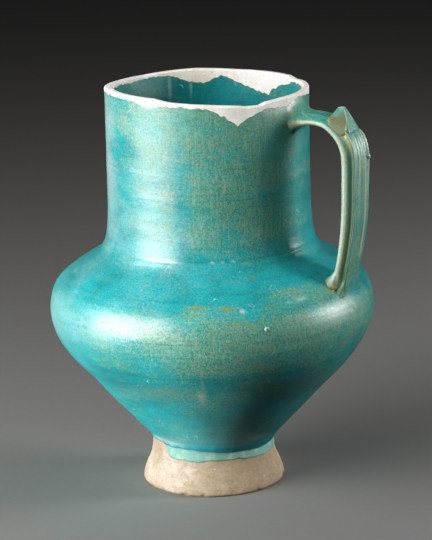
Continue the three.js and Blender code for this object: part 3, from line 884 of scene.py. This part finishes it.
# Modern plaster filling, scraped level by hand and left chalky. Its grain, too fine to see,
# is drawn 0.7 mm.
plasterLook = {
    "name": "whitePlaster",
    "base": "edebe5",
    "noises": {"mottle": [6, 3], "chalk": [0.7, 2], "scrape": [1.2, 2, 1, 1, 5], "rosy": [18, 2]},
    "dots": {"pit": [1.6, 0.16, 0.35]},
    "masks": {"light": [{"mottle": 1}, 0.42, 0.62], "pink": [{"rosy": 1}, 0.48, 0.62],
        "scraped": [{"scrape": 1}, 0.5, 0.7], "grainy": [{"chalk": 1}, 0.52, 0.68]},
    "colours": [["light", 0.8, "faf8f4"], ["pink", 0.45, "ead9d0"], ["scraped", 0.2, "c9c4ba"],
        ["grainy", 0.2, "bdb8ae"], ["pit", 0.5, "958f83"]],
    "roughness": 0.88,
    "roughnessOf": {"grainy": 0.05},
    "reliefOf": {"mottle": 0.15, "chalk": 0.05, "scraped": -0.03, "pit": -0.1},
}
creamLook = dict(plasterLook, name="creamPlaster", base="ece4d8")
creamLook["colours"] = [["light", 0.8, "f3eee5"], ["pink", 0.4, "e2d2c0"]] + plasterLook["colours"][2:]

# Seamless studio paper
paperLook = {
    "name": "paperSweep",
    "base": "989794",
    "noises": {"fibre": [3, 3]},
    "masks": {"soft": [{"fibre": 1}, 0.3, 0.7]},
    "colours": [["soft", 0.3, "a09f9c"]],
    "roughness": 0.9,
    "roughnessOf": {"soft": 0.02},
    "reliefOf": {"fibre": 0.02},
}

glaze, wornGlaze, rubbedGlaze, paste, plaster, creamPlaster, paper = (finishFrom(look) for look in (
    glazeLook, handleLook, thumbLook, pasteLook, plasterLook, creamLook, paperLook))
print("materials made")

wheel = turningTree()
skin = np.vstack([lineThrough(jug["cone"] + jug["shoulder"][1:] + jug["neck"][1:], jug["outerStep"]),
                  [[jug["rimRadius"], jug["tallest"]]]])
seams = [0, jug["bellySeam"][1], jug["neckSeam"][1], jug["neckTop"]]
outer = {key: skin[(skin[:, 1] > low - 0.01) & (skin[:, 1] < high + 0.01)]
         for key, low, high in zip(("cone", "shoulder", "neck"), seams, seams[1:])}
inner = {key: lineThrough(jug[key], jug["innerStep"])
         for key in ("floor", "innerBowl", "innerShoulder", "innerNeck")}
outer["footWall"] = lineThrough(jug["footWall"], jug["footStep"])
footEdge, waist = jug["footWall"][0], jug["footWall"][-1]
hollow, recess = jug["footInnerRadius"], jug["recessRadius"]
recessTop, recessLow = [recess, jug["footTop"]], [recess, jug["recessHeight"]]
footOutline = np.vstack([
    lineThrough([[hollow, 0], footEdge], jug["innerStep"], straight=True)[:-1],
    outer["footWall"],
    lineThrough([waist, recessTop, recessLow, *jug["footHollow"], [hollow, 0]],
                jug["innerStep"], straight=True)[1:-1],
])
bowlOutline = np.vstack([
    lineThrough([[0, jug["recessHeight"]], recessLow, recessTop, waist],
                jug["innerStep"], straight=True)[:-1],
    outer["cone"],
    [jug["bellySeam"]],
    inner["innerBowl"][::-1],
    inner["floor"][::-1][1:],
])
shoulderOutline = np.vstack([
    [jug["bellySeam"]], outer["shoulder"], [jug["neckSeam"]], inner["innerShoulder"][::-1]])
rowsUp = np.linspace(0, 1, jug["breakRows"])[1:, None]
taller = jug["tallest"] - jug["neckTop"]
innerTop = np.array(jug["innerNeck"][-1])
neckOutline = np.vstack([
    [jug["neckSeam"]], outer["neck"],
    jug["neck"][-1] + rowsUp * [0, taller],
    [[jug["rimMiddle"], jug["tallest"]]],
    (innerTop + rowsUp * [jug["rimInnerRadius"] - innerTop[0], taller])[::-1],
    inner["innerNeck"][::-1],
])
foot = turnedPiece("footPiece", wheel, footOutline, paste, jug["footRingsEnd"])
bowl, shoulder, neck = (
    turnedPiece(name, wheel, outline, glaze, jug["ringsEnd"])
    for name, outline in (("bowlPiece", bowlOutline), ("shoulderPiece", shoulderOutline),
                          ("neckPiece", neckOutline)))
points = readPoints(neck.data)
above = points[:, 2] > jug["neckTop"] + 0.01
share = (points[above, 2] - jug["neckTop"]) / taller
edge = brokenHeight(roundAxis(points[above])[1])
points[above, 2] = jug["neckTop"] + share * (edge - jug["neckTop"])
writePoints(neck.data, points)

# The glaze runs further down on the handle's side, and its thin edge stops on the foot
glazeEdge = {
    "lipShift": [[0, -1.1], [17, -0.6], [60, 0.2], [110, -0.3], [160, 0.6], [214, 1.2], [241, 1.7],
        [253, 0.8], [268, 1], [295, 0.2], [320, -0.7], [342, -1.3]],
    "lipJagged": 0.16, "jaggedRadius": 31,
    "bandLow": [[0, 15.3], [17, 15.7], [50, 16.2], [90, 15.6], [130, 16.4], [170, 17], [195, 19],
        [203, 24], [245, 24], [249, 19], [252.5, 16.5], [265, 16.2], [287, 16.1], [291, 17],
        [312, 16.7], [322, 16.8], [336, 15.9]],
    "bandJagged": 0.25,
    "bandProud": 0.45,
    "bandSoft": 0.25,
    "footUneven": 0.12, "unevenWall": [26, 28],
    "lipOnBowl": [27.5, 22.2], "lipOnFoot": [17.5, 22],  # heights where it starts and is full
    "outerWall": [26, 30.2], "bandFrom": 29,  # radii
    "nickRadius": 35.4,
    "dirt": {"at": 345, "reachRound": 60, "low": 0.8, "reachUp": 2.5},
    # small losses along the foot, as [degrees, height, size, depth]
    "nicks": [[272.5, 0.6, 1.2, 0.8], [276, 0.9, 0.9, 0.6], [289.5, 0.8, 1.3, 0.7],
        [336, 0.6, 1.5, 0.7], [313, 1.2, 1, 0.5], [251, 0.4, 1.6, 0.6], [20, 0.5, 2, 0.9],
        [95, 0.4, 1.8, 0.8], [150, 1, 1.4, 0.7], [205, 0.5, 1.5, 0.6], [355, 8, 1.2, 0.5],
        [235, 12, 1.3, 0.4]],
}


def lipShift(points, risen):
    radius, angle = roundAxis(points)
    level = points * [1, 1, 0] / np.maximum(radius, 1)[:, None] * glazeEdge["jaggedRadius"]
    shift = valueRound(glazeEdge["lipShift"], angle) + glazeEdge["lipJagged"] * lumps(level, 2.6, 31)
    return shift * risen * ease(radius, *glazeEdge["outerWall"])


points = readPoints(bowl.data)
points[:, 2] += lipShift(points, ease(points[:, 2], *glazeEdge["lipOnBowl"]))
writePoints(bowl.data, points)

points = readPoints(foot.data)
(radius, angle), height = roundAxis(points), points[:, 2].copy()
ragged = glazeEdge["bandJagged"] * lumps(points * [1, 1, 0], 2.2, 32)
low = valueRound(glazeEdge["bandLow"], angle) + ragged
soft = glazeEdge["bandSoft"]
band = ease(height, low - soft, low + soft) * (radius > glazeEdge["bandFrom"])
swell = glazeEdge["bandProud"] * band
for at, middle, size, depth in glazeEdge["nicks"]:
    turn, out = math.radians(at), glazeEdge["nickRadius"]
    centre = np.array([out * math.cos(turn), out * math.sin(turn), middle])
    swell -= depth * hump(np.linalg.norm(points - centre, axis=1), 0, size)
swell += glazeEdge["footUneven"] * lumps(points, 5, 33) * ease(radius, *glazeEdge["unevenWall"])
lip = lipShift(points, ease(height, *glazeEdge["lipOnFoot"]))
points[:, :2] *= (1 + swell / np.maximum(radius, 1))[:, None]
points[:, 2] += lip
writePoints(foot.data, points)
paint(foot, "band", band)
paint(foot, "edge", (1 - np.abs(2 * band - 1)) * (radius > glazeEdge["bandFrom"]))
dirt = glazeEdge["dirt"]
paint(foot, "dirt", hump(turnFrom(angle, dirt["at"]), 0, dirt["reachRound"])
      + dirt["low"] * hump(height, 0, dirt["reachUp"]))
print("turned pieces made")

fills = [fillPiece(name + "Piece", start, end, creamPlaster if name == "rear_left_fill" else plaster)
         for name, start, end in rim["fillings"]]
handle = handlePiece(wornGlaze)
rest = thumbRestPiece(rubbedGlaze)
for piece in (bowl, shoulder, neck):
    paintGlaze(piece)
clear = np.empty(len(handle.data.vertices), np.float32)
handle.data.attributes["clear"].data.foreach_get("value", clear)
paintGlaze(handle, clear)
paintGlaze(rest, 1)
bowl.data.materials.append(paste)  # no glaze on the bowl's underside, within the foot
for face in bowl.data.polygons:
    x, y, z = face.center / mm
    face.material_index = int(z < jug["footTop"] + 0.15 and math.hypot(x, y) < waist[0] - 0.1)
beads = [dropPiece(name, glaze) for name in drops]
print("handle, fillings and drops made")

pieces = {handle: "handle", rest: "thumb_rest", foot: "foot", bowl: "lower_bowl", shoulder: "shoulder",
          neck: "neck", **{piece: row[0] for piece, row in zip(fills, rim["fillings"])}}
allPieces = list(pieces) + beads
for piece in allPieces:
    writePoints(piece.data, settled(readPoints(piece.data)))
    piece.data.set_sharp_from_angle(angle=math.radians(40))

for piece, node in pieces.items():
    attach(piece, "root")
    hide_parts(node)
for piece in beads:
    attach(piece, "root")

floorMesh = bpy.data.meshes.new("floor")
floorMesh.from_pydata([(-4, -4, 0), (4, -4, 0), (4, 4, 0), (-4, 4, 0)], [], [(0, 1, 2, 3)])
floor = addToScene("floor", floorMesh, paper)
floor.visible_glossy = False  # the real jug stood on black, which its glaze couldn't mirror
floor.visible_diffuse = False  # and which sent no light back up to it
floor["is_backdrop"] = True

# Soft boxes, in metres: azimuth from the camera's side and elevation, distance, size, power,
# height aimed at. Those with pieces at the end only fill: flags keep them off all else.
glazed = [piece for piece in allPieces if piece is not foot]
lights = {
    "keyLight": [-62, 13, 0.75, (0.62, 0.62), 7.8, 0.13, None],
    "sideLight": [91, 13, 0.9, (0.26, 0.26), 4.8, 0.1, None],
    "topLight": [-25, 50, 0.9, (1, 0.8), 5.4, 0.15, allPieces],
    "backLight": [178, 8, 1, (1.4, 0.5), 1.6, 0.1, allPieces],
    "lowLight": [-72, 3, 0.5, (0.4, 0.04), 0.14, 0.035, glazed],
}
for name, (azimuth, elevation, distance, size, power, aimHeight, lit) in lights.items():
    data = bpy.data.lights.new(name, "AREA")
    data.shape = "RECTANGLE"
    data.size, data.size_y = size
    data.energy = power
    light = addToScene(name, data)
    turn, lift = math.radians(view["azimuth"] - 90 + azimuth), math.radians(elevation)
    away = Vector((math.cos(turn) * math.cos(lift), math.sin(turn) * math.cos(lift), math.sin(lift)))
    light.location = away * distance + Vector((axisX * mm, 0, aimHeight))
    light.rotation_euler = (-away).to_track_quat("-Z", "Y").to_euler()
    if lit:
        flagged = bpy.data.collections.new(name + "Falls")
        for piece in lit:
            flagged.objects.link(piece)
        light.light_linking.receiver_collection = flagged
        light.visible_glossy = False  # and it leaves no mark in the gloss
bpy.data.objects["lowLight"].data.spread = math.radians(20)  # a grid holds it to the bowl
world = bpy.data.worlds.new("studio")
scene.world = world
world.use_nodes = True
world.node_tree.nodes["Background"].inputs[0].default_value = (0.015, 0.015, 0.015, 1)
scene.view_settings.view_transform = "Standard"
scene.view_settings.look = "Medium High Contrast"
print("floor and lights set")

low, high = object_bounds()
